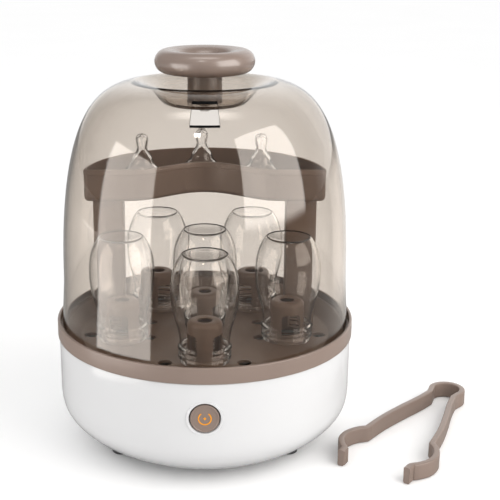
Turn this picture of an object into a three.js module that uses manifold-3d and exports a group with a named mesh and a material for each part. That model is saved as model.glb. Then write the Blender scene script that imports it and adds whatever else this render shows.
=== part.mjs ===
// Electric steam steriliser for six baby bottles, in millimetres, +Z up.
// The origin is the middle of the bottom cover's underside. The front, with the button, faces -Y.
// A pair of tongs lies beside the steriliser, on the same table.
import * as THREE from "three";
import { mergeVertices } from "three/addons/utils/BufferGeometryUtils.js";
import Module from "manifold-3d";

const wasm = await Module();
wasm.setup();

// ---- driving dimensions ----------------------------------------------------------------------
const GAP = 0.3; // between pieces that touch
const WALL = 2.6; // moulded walls of the lid and the trays

const BASE = {
  radius: 131.6,
  top: 99,
  // where it curves in, from the side to the seam underneath
  side: [
    [131.6, 80],
    [131.5, 60],
    [131.3, 46],
    [129.2, 35],
    [123.7, 26],
    [115.6, 18],
    [107.6, 12],
    [101.2, 9.6],
  ],
  wall: 3,
  deck: 92, // the rack stands on this shelf
  wellRadius: 104,
  wellFloorRadius: 98,
  wellFloor: 64,
  plateHole: 72,
};
const COVER = { radius: 98.5, bottom: 6.3, thickness: 2.4 };
const FOOT = { radius: 9, height: 6, ring: 89.5, angles: [34, 146, 214, 326] };
const SCREW = { ring: 86, angles: [0, 90, 180, 270], boss: 4.5, head: 3.2, shank: 1.4 };
const BUTTON = { height: 69, radius: 12.4, face: 132.2, depth: 8.8, flange: 2 };
const GLAND = { height: 66, body: 6.6, bore: 3.6, flange: 9.5 };

const RACK = {
  radius: 133,
  rimBottom: 99.3,
  rimTop: 113.5,
  seat: 107.6, // the lid's edge stands here
  seatOuter: 130.3,
  seatInner: 123.5,
  floor: 97,
  floorRadius: 112,
  drain: 6, // radius of the drain holes, at [distance, degrees from the back]
  drains: [[86.4, 18], [53.8, 0], [53.8, 68], [103.5, 97.5], [53.8, 111.8], [86.4, 157.2]],
};
const PEG = { ring: 76.6, radius: 15, wall: 2, height: 37.7, hole: 6.5, flange: 17.5 };
const BOTTLE = { height: 94.2, mouth: 21.5, belly: 28.7, base: 18, wall: 2 };

const TRAY = {
  back: 109, // radius of the back wall, about the steriliser's axis
  front: 3.5, // the straight ends of the front wall
  hollow: 72, // radius of the hollow in the front wall
  hollowCentre: -34.6,
  bottom: 216,
  top: 245,
};
const LEG = { inner: 73.2, outer: 100.6, front: 10, back: 29, wall: 2.5 };
const TEAT = {
  height: 50,
  flange: 22,
  tip: 5.8,
  wall: 1.8,
  left: [-58, 52],
  middle: [-3, 75],
  right: [52, 52],
};

const LID = {
  bottom: 108,
  bottomRadius: 128.5,
  shoulder: 151.4, // the dome starts to curve in here
  radius: 126.1,
  top: 326,
  sideExponent: 5.24, // superellipse exponents of the dome's curve
  crownExponent: 2.25,
  bowlRim: 58,
  bowl: [[53, 1.6], [47, 4.6], [43.5, 7.2], [38, 13], [33.5, 17], [29, 18.8]], // [radius, drop below the rim]
};
const VENT = { inner: 80.5, outer: 98, halfAngle: 7 };
const STEM = { radius: 15.3, bore: 2.3 };
const KNOB = { radius: 43, bottom: 331, top: 351, dish: 341 };

// The tongs lie flat. Places along them are [distance from the bow's middle, distance off their axis].
const TONGS = {
  place: [238, 54, 0.2],
  heading: -122.1, // degrees from +X to the way the arms point
  bow: 14.75, // radius at the middle of the strip
  strip: 5.5,
  height: 15,
  neck: [14, 12],
  hinge: 0.2, // the arms bend at this share of each half's length
  hingeGap: 0.0018,
  arm: [[35, 15.5], [60, 21.5], [90, 27.5], [120.5, 31]],
  cup: [[128, 37.5], [139.5, 42], [152, 41.6], [162, 36.5], [168, 31]],
  tip: [177, 30.5],
  ribs: 4,
  ribStep: 2.3,
};

const FINE = 32; // segments round the large pieces
const MEDIUM = 16;
const COARSE = 8;

// ---- helpers ---------------------------------------------------------------------------------
const rad = THREE.MathUtils.degToRad;
const plastic = (color, roughness = 0.4) => new THREE.MeshStandardMaterial({ color, roughness });
const metal = (color, roughness = 0.3) =>
  new THREE.MeshStandardMaterial({ color, roughness, metalness: 1 });
const clear = (color, opacity) =>
  new THREE.MeshStandardMaterial({ color, roughness: 0.08, transparent: true, opacity });

const TAUPE = plastic(0x9a857a, 0.35);
const WHITE = plastic(0xf4f4f4, 0.2);
const SMOKE = clear(0xb5a898, 0.4);
const GLASS = clear(0xf0f0ec, 0.3);
const SILICONE = clear(0xf4f1ea, 0.5);
const STEEL = metal(0xc9c9cc);
const ALUMINIUM = metal(0xa8a8a8, 0.5);
const GREEN = plastic(0x1e5b3a, 0.5);
const BLACK = plastic(0x202020, 0.7);
const AMBER = plastic(0xf08a1c, 0.4);
const SEAL = plastic(0xd8d4ce, 0.7);

// A profile is a list of [radius, height]. It is turned about the Z axis and closes on itself.
function turned(profile, segments = FINE) {
  let area = 0;
  profile.forEach(([r, z], i) => {
    const [nextR, nextZ] = profile[(i + 1) % profile.length];
    area += r * nextZ - nextR * z;
  });
  const outward = area > 0 ? profile : [...profile].reverse();
  const points = [...outward, outward[0]].map(([r, z]) => new THREE.Vector2(r, z));
  return new THREE.LatheGeometry(points, segments).rotateX(Math.PI / 2);
}

function extruded(shape, depth, curveSegments = 6) {
  return new THREE.ExtrudeGeometry(shape, { depth, bevelEnabled: false, curveSegments });
}

function box(low, high) {
  const size = high.map((v, i) => v - low[i]);
  const middle = high.map((v, i) => (v + low[i]) / 2);
  return new THREE.BoxGeometry(...size).translate(...middle);
}

// A cylinder along Z from z0 to z1.
function rod(radius, z0, z1, segments = COARSE) {
  return new THREE.CylinderGeometry(radius, radius, z1 - z0, segments)
    .rotateX(Math.PI / 2)
    .translate(0, 0, (z0 + z1) / 2);
}

function solid(geometry) {
  const bare = geometry.clone();
  bare.deleteAttribute("normal");
  bare.deleteAttribute("uv");
  const merged = mergeVertices(bare);
  return new wasm.Manifold(
    new wasm.Mesh({
      numProp: 3,
      vertProperties: merged.attributes.position.array,
      triVerts: new Uint32Array(merged.index.array),
    }),
  );
}

function geometryOf(made) {
  const { vertProperties, triVerts } = made.getMesh();
  return new THREE.BufferGeometry()
    .setAttribute("position", new THREE.BufferAttribute(vertProperties, 3))
    .setIndex(new THREE.BufferAttribute(triVerts, 1));
}

function cut(geometry, ...tools) {
  return geometryOf(tools.reduce((made, tool) => made.subtract(solid(tool)), solid(geometry)));
}

function joined(...geometries) {
  return geometryOf(geometries.map(solid).reduce((a, b) => a.add(b)));
}

// The point at a distance and an angle in degrees round the Z axis.
function polar(distance, degrees) {
  return [distance * Math.cos(rad(degrees)), distance * Math.sin(rad(degrees))];
}

// Points on an ellipse from angle a to b, in degrees.
function arc(centre, semiR, semiZ, a, b, steps) {
  return Array.from({ length: steps + 1 }, (_, i) => {
    const angle = rad(a + ((b - a) * i) / steps);
    return [centre[0] + semiR * Math.cos(angle), centre[1] + semiZ * Math.sin(angle)];
  });
}

const assembly = new THREE.Group();
function add(name, geometry, material, place = [0, 0, 0], turn = 0) {
  const mesh = new THREE.Mesh(geometry, material);
  mesh.name = name;
  mesh.position.set(...place);
  mesh.rotation.z = rad(turn);
  assembly.add(mesh);
}

// ---- base ------------------------------------------------------------------------------------
// Points down the side's curve, drawn in by a distance.
function sideCurve(inset, steps) {
  const knots = BASE.side.map(([r, z]) => new THREE.Vector2(r, z));
  return new THREE.SplineCurve(knots).getPoints(steps).map(({ x, y }) => {
    const drop = (BASE.side[0][1] - y) / BASE.side[0][1];
    return [x - inset * (1 - drop / 2), y + inset * drop];
  });
}

function baseHousing() {
  const { radius, wall } = BASE;
  const outer = sideCurve(0, 14).reverse();
  const inner = sideCurve(wall, 7);
  const seam = COVER.radius + GAP;
  const shell = turned([
    [seam, outer[0][1]],
    ...outer,
    [radius, BASE.top],
    [radius - wall, BASE.top],
    ...inner,
    [seam, inner[inner.length - 1][1]],
  ]);
  const buttonHole = rod(BUTTON.radius + GAP, 110, 140, MEDIUM)
    .rotateX(Math.PI / 2)
    .translate(0, 0, BUTTON.height);
  const glandHole = rod(GLAND.body + GAP, 110, 140, 12)
    .rotateX(-Math.PI / 2)
    .translate(0, 0, GLAND.height);
  return cut(shell, buttonHole, glandHole);
}

// The basin closes the base's top. It holds the water over the plate, and the rack stands on its deck.
function waterBasin() {
  const { radius, wall, deck, wellRadius, wellFloorRadius, wellFloor, plateHole } = BASE;
  const edge = radius - wall - GAP;
  const bowl = turned([
    [edge, deck],
    [wellRadius, deck],
    [wellFloorRadius, wellFloor],
    [plateHole, wellFloor],
    [plateHole, wellFloor - wall],
    [wellFloorRadius + wall, wellFloor - wall],
    [wellRadius + wall, deck - wall],
    [edge, deck - wall],
  ]);
  const bossBottom = COVER.bottom + COVER.thickness + GAP;
  const post = (size, low, high) =>
    SCREW.angles.map((angle) => rod(size, low, high).translate(...polar(SCREW.ring, angle), 0));
  const bosses = post(SCREW.boss, bossBottom, wellFloor - wall / 2);
  const bores = post(SCREW.shank + GAP, bossBottom - 1, bossBottom + 16);
  return cut(joined(bowl, ...bosses), ...bores);
}

function bottomCover() {
  const { radius, bottom, thickness } = COVER;
  const plate = turned([
    [0, bottom],
    [radius - 1, bottom],
    [radius, bottom + 1],
    [radius, bottom + thickness],
    [0, bottom + thickness],
  ]);
  const holes = SCREW.angles.flatMap((angle) => [
    rod(SCREW.shank + GAP, bottom - 1, 12, 8).translate(...polar(SCREW.ring, angle), 0),
    rod(SCREW.head + GAP, bottom - 1, bottom + 1.6, 8).translate(...polar(SCREW.ring, angle), 0),
  ]);
  const slots = [-27, -18, -9, 9, 18, 27].map((row) =>
    box([-20, row - 1.5, bottom - 1], [20, row + 1.5, 12]),
  );
  return cut(plate, ...holes, ...slots);
}

function bottomScrew() {
  const head = COVER.bottom + 0.2;
  const neck = COVER.bottom + 1.3;
  return turned(
    [
      [0, head],
      [SCREW.head, head],
      [SCREW.head, neck],
      [SCREW.shank, neck],
      [SCREW.shank, neck + 14],
      [0, neck + 14],
    ],
    8,
  );
}

function foot() {
  const { radius, height } = FOOT;
  return turned([[0, 0], [radius - 1, 0], [radius, 1], [radius, height], [0, height]], 12);
}

const PLATE = { rim: 79, dish: 60, top: 67.2, floor: 61.2, sheet: 1.2 };
function heatingPlate() {
  const { rim, dish, top, floor, sheet } = PLATE;
  return turned(
    [
      [0, floor - sheet],
      [dish, floor - sheet],
      [dish + 8, top - sheet],
      [rim, top - sheet],
      [rim, top],
      [dish + 7, top],
      [dish - 1, floor],
      [0, floor],
    ],
    24,
  );
}

function plateGasket() {
  const low = BASE.wellFloor + GAP;
  const high = PLATE.top - PLATE.sheet - GAP;
  return turned([[73, low], [78, low], [78, high], [73, high]], 24);
}

function heaterRing() {
  const tube = 4.5;
  const height = PLATE.floor - PLATE.sheet - tube - GAP;
  return turned(arc([42, height], tube, tube, 0, 300, 5), MEDIUM);
}

function thermostat() {
  const top = PLATE.floor - PLATE.sheet - GAP;
  return turned([[0, top], [9, top], [9, top - 6], [6, top - 6], [6, top - 12], [0, top - 12]], 12);
}

// The board stands behind the button, with its switch and lamp on the front.
const BOARD = { front: -118, thickness: 1.6, halfWidth: 20, low: 48, high: 84 };
function controlBoard() {
  const { front, thickness, halfWidth, low, high } = BOARD;
  return box([-halfWidth, front, low], [halfWidth, front + thickness, high]);
}
const tactSwitch = () =>
  box([-3, BOARD.front - 3.6, BUTTON.height - 3], [3, BOARD.front - GAP, BUTTON.height + 3]);
const indicatorLamp = () =>
  rod(1.5, -BOARD.front + GAP, 121.5, 8).rotateX(Math.PI / 2).translate(6.5, 0, BUTTON.height);
const terminalBlock = () => box([14, 84, 20], [42, 96, 32]);
const thermalFuse = () => rod(2.2, -8, 8, 8).rotateY(Math.PI / 2).translate(0, 20, 57);

// The cable outlet at the back: a bush through the wall and the nut that holds it.
function cordGland() {
  const { body, bore, flange } = GLAND;
  return turned(
    [[bore, 116], [body, 116], [body, 132], [flange, 132], [flange, 134], [6, 137], [bore, 137]],
    12,
  )
    .rotateX(-Math.PI / 2)
    .translate(0, 0, GLAND.height);
}
function glandNut() {
  const hole = GLAND.body + GAP;
  return turned([[hole, 118], [9.5, 118], [9.5, 122], [hole, 122]], 12)
    .rotateX(-Math.PI / 2)
    .translate(0, 0, GLAND.height);
}

function powerButton() {
  const { radius, face, depth, flange } = BUTTON;
  const back = face - depth;
  return turned(
    [
      [0, back],
      [radius + flange, back],
      [radius + flange, back + 1.2],
      [radius, back + 1.2],
      [radius, face - 0.6],
      [radius - 0.6, face],
      [0, face],
    ],
    MEDIUM,
  )
    .rotateX(Math.PI / 2)
    .translate(0, 0, BUTTON.height);
}
// The mark on the button: a ring with a gap at the top round a dot.
const MARK = { inner: 4.6, outer: 5.6, dot: 1.3, thickness: 0.3 };
function markRing() {
  const shape = new THREE.Shape();
  shape.absarc(0, 0, MARK.outer, rad(125), rad(415), false);
  shape.absarc(0, 0, MARK.inner, rad(415), rad(125), true);
  return extruded(shape, MARK.thickness, 10);
}
const onButton = (geometry) =>
  geometry.rotateX(Math.PI / 2).translate(0, -BUTTON.face - 0.05, BUTTON.height);

function buildBase() {
  add("base_housing", baseHousing(), WHITE);
  add("water_basin", waterBasin(), WHITE);
  add("bottom_cover", bottomCover(), WHITE);
  FOOT.angles.forEach((angle, i) => add(`foot_${i + 1}`, foot(), BLACK, [...polar(FOOT.ring, angle), 0]));
  SCREW.angles.forEach((angle, i) =>
    add(`bottom_screw_${i + 1}`, bottomScrew(), STEEL, [...polar(SCREW.ring, angle), 0]),
  );
  add("heating_plate", heatingPlate(), STEEL);
  add("plate_gasket", plateGasket(), SEAL);
  add("heater_ring", heaterRing(), ALUMINIUM);
  add("thermostat", thermostat(), BLACK);
  add("thermal_fuse", thermalFuse(), SEAL);
  add("control_board", controlBoard(), GREEN);
  add("tact_switch", tactSwitch(), BLACK);
  add("indicator_lamp", indicatorLamp(), AMBER);
  add("terminal_block", terminalBlock(), SEAL);
  add("cord_gland", cordGland(), WHITE);
  add("gland_nut", glandNut(), BLACK);
  add("power_button", powerButton(), TAUPE);
  add("power_mark_ring", onButton(markRing()), AMBER);
  add("power_mark_dot", onButton(rod(MARK.dot, 0, MARK.thickness, 8)), AMBER);
}

// ---- bottle rack -----------------------------------------------------------------------------
const PEG_ANGLES = [270, 342, 54, 126, 198];
const STATIONS = [...PEG_ANGLES.map((angle) => [...polar(PEG.ring, angle), angle]), [0, 0, 270]];
const STATION_NAMES = ["front", "right", "back_right", "back_left", "left", "middle"];

function bottleRack() {
  const { radius, rimBottom, rimTop, seat, seatOuter, seatInner, floor, floorRadius } = RACK;
  const under = floor - WALL;
  const skirt = BASE.radius - BASE.wall - GAP;
  const tray = turned([
    [0, under],
    [floorRadius - 4, under],
    [floorRadius - 4, BASE.deck + GAP],
    [floorRadius - 1, BASE.deck + GAP],
    [floorRadius - 1, under],
    [floorRadius + 1, under],
    [seatInner - 1, seat - WALL],
    [skirt - 2.4, seat - WALL],
    [skirt - 2.4, rimBottom - 3],
    [skirt, rimBottom - 3],
    [skirt, rimBottom],
    [radius, rimBottom],
    [radius, rimTop - 1],
    [radius - 1, rimTop],
    [seatOuter, rimTop],
    [seatOuter, seat],
    [seatInner, seat],
    [floorRadius, floor],
    [0, floor],
  ]);
  const socket = ([x0, x1]) =>
    cut(
      box([x0 - 2.4, LEG.front - 2.4, floor - 1], [x1 + 2.4, LEG.back + 2.4, floor + 6]),
      box([x0 - GAP, LEG.front - GAP, floor], [x1 + GAP, LEG.back + GAP, floor + 7]),
    );
  const sockets = [[LEG.inner, LEG.outer], [-LEG.outer, -LEG.inner]].map(socket);
  const hole = (size, x, y) => rod(size, under - 1, floor + 1).translate(x, y, 0);
  const underPegs = STATIONS.map(([x, y]) => hole(10, x, y));
  const drains = RACK.drains.flatMap(([distance, angle]) => {
    const sides = angle === 0 ? [1] : [1, -1];
    return sides.map((side) => hole(RACK.drain, ...polar(distance, 90 + side * angle)));
  });
  return cut(joined(tray, ...sockets), ...underPegs, ...drains);
}

// A hollow cap with a hole in its crown and three windows, one of them facing the middle of the rack.
function bottlePeg() {
  const { radius, wall, height, hole, flange } = PEG;
  const fillet = 6;
  const shell = turned(
    [
      [radius - wall, 0],
      [flange, 0],
      [flange, 2],
      [radius, 2.6],
      ...arc([radius - fillet, height - fillet], fillet, fillet, 0, 90, 2),
      [hole, height],
      [hole, height - wall],
      ...arc([radius - fillet, height - fillet], fillet - wall, fillet - wall, 90, 0, 1),
    ],
    MEDIUM,
  );
  const window = (angle) => box([5, -8, 7], [flange + 2, 8, 27]).rotateZ(rad(angle));
  return cut(shell, window(60), window(180), window(300));
}

// A wide-necked glass bottle, standing on its mouth.
function bottle() {
  const { height, mouth, belly, base, wall } = BOTTLE;
  return turned(
    [
      [mouth - wall, 0],
      [mouth, 0],
      [mouth + 0.3, 22],
      [belly - 1.6, 42],
      [belly, 60],
      [belly - 2, 77],
      [base, height],
      [0, height],
      [0, height - 3],
      [base - 1, height - 3.4],
      [belly - 4, 76],
      [belly - 2, 60],
      [belly - 3.6, 42],
      [mouth - wall + 0.3, 22],
    ],
    COARSE + 4,
  );
}

function buildRack() {
  add("bottle_rack", bottleRack(), TAUPE);
  STATIONS.forEach(([x, y, angle], i) => {
    add(`bottle_peg_${STATION_NAMES[i]}`, bottlePeg(), TAUPE, [x, y, RACK.floor + GAP], angle);
    add(`bottle_${STATION_NAMES[i]}`, bottle(), GLASS, [x, y, RACK.floor + 1.3]);
  });
}

// ---- upper tray ------------------------------------------------------------------------------
// The crescent outline, drawn in by a distance: a back wall round the axis and a hollow in the front.
function crescent(inset) {
  const back = TRAY.back - inset;
  const front = TRAY.front + inset;
  const hollow = TRAY.hollow + inset;
  const tip = Math.asin((front + 8) / back);
  const flatEnd = 74;
  const hollowStart = Math.asin(Math.min(1, 56 / hollow));
  const blend = [hollow * Math.sin(hollowStart), TRAY.hollowCentre + hollow * Math.cos(hollowStart)];
  const shape = new THREE.Shape();
  shape.absarc(0, 0, back, tip, Math.PI - tip, false);
  shape.quadraticCurveTo(-back + 0.3, front, -back + 9, front);
  shape.lineTo(-flatEnd, front);
  shape.quadraticCurveTo(-blend[0] - 6, front, -blend[0], blend[1]);
  shape.absarc(0, TRAY.hollowCentre, hollow, Math.PI / 2 + hollowStart, Math.PI / 2 - hollowStart, true);
  shape.quadraticCurveTo(blend[0] + 6, front, flatEnd, front);
  shape.lineTo(back - 9, front);
  shape.quadraticCurveTo(back - 0.3, front, ...polar(back, THREE.MathUtils.radToDeg(tip)));
  return shape;
}

function accessoryTray() {
  const { bottom, top } = TRAY;
  const outer = extruded(crescent(0), top - bottom).translate(0, 0, bottom);
  const inner = extruded(crescent(WALL), top - bottom).translate(0, 0, bottom + WALL);
  const holes = [
    [0, 50],
    [-28, 78],
    [28, 78],
    [-26, 42],
    [26, 42],
    [-84, 22],
    [84, 22],
  ].map(([x, y]) => rod(3, bottom - 1, bottom + WALL + 1, 8).translate(x, y, 0));
  return cut(outer, inner, ...holes);
}

// A leg is a channel, open to the back.
function trayLeg(side) {
  const { inner, outer, front, back, wall } = LEG;
  const height = TRAY.bottom - RACK.floor - 2 * GAP;
  const shape = new THREE.Shape();
  const corners = [
    [inner, front],
    [outer, front],
    [outer, back],
    [outer - wall, back],
    [outer - wall, front + wall],
    [inner + wall, front + wall],
    [inner + wall, back],
    [inner, back],
  ];
  const ordered = side > 0 ? corners : corners.map(([x, y]) => [-x, y]).reverse();
  shape.setFromPoints(ordered.map(([x, y]) => new THREE.Vector2(x, y)));
  return extruded(shape, height).translate(0, 0, RACK.floor + GAP);
}

// A silicone teat, hollow and open below.
function teat() {
  const { height, flange, tip, wall } = TEAT;
  return turned(
    [
      [flange - 4.5, 0],
      [flange, 0],
      [flange, 2.5],
      [flange - 2.6, 3.4],
      [flange - 2.6, 10.5],
      [flange - 1, 12],
      [17, 16.4],
      [10.5, 23],
      [7.2, 28.8],
      [tip, 34],
      [tip, height - 5.5],
      [tip - 2.2, height - 1],
      [0, height],
      [0, height - wall],
      [tip - wall, height - 7],
      [tip - wall, 33],
      [8.6, 21.5],
      [15.2, 14.6],
      [flange - 4.5, 11],
    ],
    12,
  );
}

function buildTray() {
  add("accessory_tray", accessoryTray(), TAUPE);
  add("tray_leg_right", trayLeg(1), TAUPE);
  add("tray_leg_left", trayLeg(-1), TAUPE);
  const floor = TRAY.bottom + WALL + GAP;
  add("teat_right", teat(), SILICONE, [...TEAT.right, floor]);
  add("teat_middle", teat(), SILICONE, [...TEAT.middle, floor]);
  add("teat_left", teat(), SILICONE, [...TEAT.left, floor]);
}

// ---- lid -------------------------------------------------------------------------------------
// One face of the dome, from its edge to the bowl's floor, drawn in by a distance.
function lidFace(inset, steps) {
  const { radius, top, shoulder, sideExponent, crownExponent } = LID;
  const r = radius - inset;
  const height = top - inset - shoulder;
  const rim = LID.bowlRim + inset / 2;
  const lastAngle = Math.acos((rim / r) ** (sideExponent / 2));
  const dome = Array.from({ length: steps + 1 }, (_, i) => {
    const angle = (lastAngle * i) / steps;
    return [
      r * Math.cos(angle) ** (2 / sideExponent),
      shoulder + height * Math.sin(angle) ** (2 / crownExponent),
    ];
  });
  const [, rimHeight] = dome[dome.length - 1];
  const bowl = LID.bowl.map(([across, drop]) => [across + inset / 2, rimHeight - drop]);
  return [[LID.bottomRadius - inset, LID.bottom], ...dome, ...bowl];
}

function lidDome() {
  const outer = lidFace(0, 9);
  const inner = lidFace(WALL, 8);
  const hole = 2.6;
  const floor = outer[outer.length - 1][1];
  const under = inner[inner.length - 1][1];
  const shell = turned([...outer, [hole, floor], [hole, under], ...inner.reverse()]);
  const half = rad(VENT.halfAngle);
  const shape = new THREE.Shape();
  shape.absarc(0, 0, VENT.outer, -Math.PI / 2 - half, -Math.PI / 2 + half, false);
  shape.absarc(0, 0, VENT.inner, -Math.PI / 2 + half, -Math.PI / 2 - half, true);
  return cut(shell, extruded(shape, 60, 3).translate(0, 0, 280));
}

function bowlFloor() {
  const outer = lidFace(0, 9);
  const inner = lidFace(WALL, 8);
  return [inner[inner.length - 1][1], outer[outer.length - 1][1]];
}

function buildLid() {
  const [under, floor] = bowlFloor();
  add("lid_dome", lidDome(), SMOKE);
  const stem = turned(
    [
      [0, floor + 20],
      [STEM.bore, floor + 20],
      [STEM.bore, floor + GAP],
      [STEM.radius, floor + GAP],
      [STEM.radius, KNOB.bottom - GAP],
      [0, KNOB.bottom - GAP],
    ],
    MEDIUM,
  );
  add("knob_stem", stem, TAUPE);
  const middle = (KNOB.bottom + KNOB.top) / 2;
  const half = (KNOB.top - KNOB.bottom) / 2;
  const knob = turned(
    [
      [0, KNOB.bottom],
      ...arc([KNOB.radius - half, middle], half, half, -90, 90, 6),
      [28, KNOB.top - 1.2],
      [23, KNOB.top - 4.6],
      [17.5, KNOB.dish + 1.6],
      [10, KNOB.dish + 0.2],
      [0, KNOB.dish],
    ],
    FINE,
  );
  add("lid_knob", knob, TAUPE);
  const washer = [under - 1.5, under - GAP];
  const ring = [[2.6, washer[0]], [8, washer[0]], [8, washer[1]], [2.6, washer[1]]];
  add("knob_washer", turned(ring, MEDIUM), SEAL);
  const head = washer[0] - GAP;
  const screw = turned(
    [[0, head - 3], [4.2, head - 3], [4.2, head], [2, head], [2, floor + 17], [0, floor + 17]],
    12,
  );
  add("knob_screw", screw, STEEL);
}

// ---- tongs -----------------------------------------------------------------------------------
// A strip of even thickness along a centre line, standing on its edge.
function strip(line) {
  const half = TONGS.strip / 2;
  const sides = line.map((point, i) => {
    const before = line[Math.max(i - 1, 0)];
    const after = line[Math.min(i + 1, line.length - 1)];
    const along = new THREE.Vector2(after.x - before.x, after.y - before.y).normalize();
    const across = new THREE.Vector2(-along.y, along.x).multiplyScalar(half);
    return [point.clone().add(across), point.clone().sub(across)];
  });
  const left = sides.map(([a]) => a);
  const right = sides.map(([, b]) => b);
  return extruded(new THREE.Shape([...right, ...left.reverse()]), TONGS.height);
}

// The centre line of one half, from the middle of the bow to the arm's tip.
function tongsCurve(side) {
  const { bow, neck, arm, cup, tip } = TONGS;
  const round = [180, 150, 120, 92, 68].map((angle) => polar(bow, angle));
  const path = new THREE.CurvePath();
  const smooth = (points) =>
    path.add(new THREE.CatmullRomCurve3(points.map(([x, y]) => new THREE.Vector3(x, y * side, 0))));
  smooth([...round, neck]);
  smooth([neck, ...arm]);
  smooth([arm[arm.length - 1], ...cup]);
  smooth([cup[cup.length - 1], tip]);
  return path;
}

function stretch(side, from, to, steps) {
  const curve = tongsCurve(side);
  return Array.from({ length: steps + 1 }, (_, i) => {
    const { x, y } = curve.getPointAt(from + ((to - from) * i) / steps);
    return new THREE.Vector2(x, y);
  });
}

function tongsBow() {
  const end = TONGS.hinge - TONGS.hingeGap;
  const [, ...below] = stretch(-1, 0, end, 8);
  return strip([...stretch(1, 0, end, 8).reverse(), ...below]);
}

function tongsArm(side) {
  const { tip, hinge, hingeGap, height, ribs, ribStep } = TONGS;
  const bars = Array.from({ length: ribs }, (_, i) =>
    rod(1.1, 1, height - 1, 6).translate(tip[0] - 1.5 - ribStep * i, (tip[1] - 2.2) * side, 0),
  );
  return joined(strip(stretch(side, hinge + hingeGap, 1, 26)), ...bars);
}

function buildTongs() {
  const { place, heading } = TONGS;
  add("tongs_bow", tongsBow(), TAUPE, place, heading);
  add("tongs_arm_left", tongsArm(-1), TAUPE, place, heading);
  add("tongs_arm_right", tongsArm(1), TAUPE, place, heading);
}

buildBase();
buildRack();
buildTray();
buildLid();
buildTongs();
assembly.position.z = -COVER.bottom;

export default assembly;
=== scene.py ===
"""A clear-domed steam steriliser for baby bottles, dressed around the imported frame."""

import math

import bmesh
import bpy
from mathutils import Matrix, Vector


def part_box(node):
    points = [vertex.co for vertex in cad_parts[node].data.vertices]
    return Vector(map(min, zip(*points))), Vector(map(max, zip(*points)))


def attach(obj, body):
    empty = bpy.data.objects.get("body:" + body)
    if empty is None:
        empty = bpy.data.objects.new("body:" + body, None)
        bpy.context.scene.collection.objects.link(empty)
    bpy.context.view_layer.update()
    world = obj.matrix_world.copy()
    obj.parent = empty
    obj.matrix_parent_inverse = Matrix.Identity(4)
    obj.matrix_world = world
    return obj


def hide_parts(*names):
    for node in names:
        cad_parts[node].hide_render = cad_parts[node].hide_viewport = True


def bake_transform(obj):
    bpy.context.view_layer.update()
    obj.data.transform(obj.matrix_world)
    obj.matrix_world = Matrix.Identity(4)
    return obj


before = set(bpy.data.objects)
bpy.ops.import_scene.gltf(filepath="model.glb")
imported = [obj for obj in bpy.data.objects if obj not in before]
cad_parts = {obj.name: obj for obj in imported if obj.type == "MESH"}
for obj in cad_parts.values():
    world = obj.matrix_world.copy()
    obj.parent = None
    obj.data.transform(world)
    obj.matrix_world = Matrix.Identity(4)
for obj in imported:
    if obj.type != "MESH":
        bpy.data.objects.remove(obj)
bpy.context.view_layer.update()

scene = bpy.context.scene
MM = 0.001
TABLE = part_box("foot_1")[0].z  # the surface that the feet and the tongs stand on
GAP = 0.3  # left between neighbouring pieces, in millimetres

# ---- camera ----------------------------------------------------------------------------------
CAMERA_BACK = 0.950
CAMERA_HEIGHT = 0.454
CAMERA_PITCH = 16.5
CAMERA_LENS = 79.6
CAMERA_SHIFT = 0.0904


def make_camera():
    data = bpy.data.cameras.new("camera")
    data.lens = CAMERA_LENS
    data.sensor_width = 36
    data.shift_x = CAMERA_SHIFT
    camera = bpy.data.objects.new("camera", data)
    camera.location = (0, -CAMERA_BACK, TABLE + CAMERA_HEIGHT)
    camera.rotation_euler = (math.radians(90 - CAMERA_PITCH), 0, 0)
    scene.collection.objects.link(camera)
    scene.camera = camera


make_camera()


# ---- places taken from the frame -------------------------------------------------------------
def stand(node):
    """The middle of a node's underside."""
    low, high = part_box(node)
    return Vector(((low.x + high.x) / 2, (low.y + high.y) / 2, low.z))


def radius(node):
    """Half of a round node's width, in millimetres."""
    low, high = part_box(node)
    return (high.x - low.x) / 2 / MM


def heights(node):
    """A node's lowest and highest points, in millimetres above the table."""
    low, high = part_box(node)
    return (low.z - TABLE) / MM, (high.z - TABLE) / MM


# ---- shapes ----------------------------------------------------------------------------------
def filleted(points, closed=False, steps=5):
    """Points of a path, with an arc in place of each corner that has a third value, its radius."""
    path = []
    count = len(points)
    for i, point in enumerate(points):
        here = Vector(point[:2])
        size = point[2] if len(point) > 2 else 0
        end = not closed and i in (0, count - 1)
        if size == 0 or end:
            path.append(here)
            continue
        before = Vector(points[i - 1][:2]) - here
        after = Vector(points[(i + 1) % count][:2]) - here
        angle = before.angle(after)
        if angle > math.radians(176):
            path.append(here)
            continue
        reach = min(size / math.tan(angle / 2), before.length * 0.49, after.length * 0.49)
        bend = reach * math.tan(angle / 2)
        halfway = (before.normalized() + after.normalized()).normalized()
        centre = here + halfway * (bend / math.sin(angle / 2))
        start = here + before.normalized() * reach - centre
        sweep = start.angle_signed(here + after.normalized() * reach - centre)
        for k in range(steps + 1):
            turn = Matrix.Rotation(-sweep * k / steps, 2)
            path.append(centre + turn @ start)
    return path


def curve_through(points, steps):
    """A Catmull-Rom curve through the points, with that many steps between each two."""
    points = [Vector(point) for point in points]
    ends = [2 * points[0] - points[1], *points, 2 * points[-1] - points[-2]]
    path = []
    for a, b, c, d in zip(ends, ends[1:], ends[2:], ends[3:]):
        for k in range(steps):
            t = k / steps
            square = (2 * a - 5 * b + 4 * c - d) * t**2
            cube = (3 * b - a - 3 * c + d) * t**3
            path.append(0.5 * (2 * b + (c - a) * t + square + cube))
    return [*path, points[-1]]


def link(name, mesh):
    obj = bpy.data.objects.new(name, mesh)
    scene.collection.objects.link(obj)
    return obj


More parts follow.
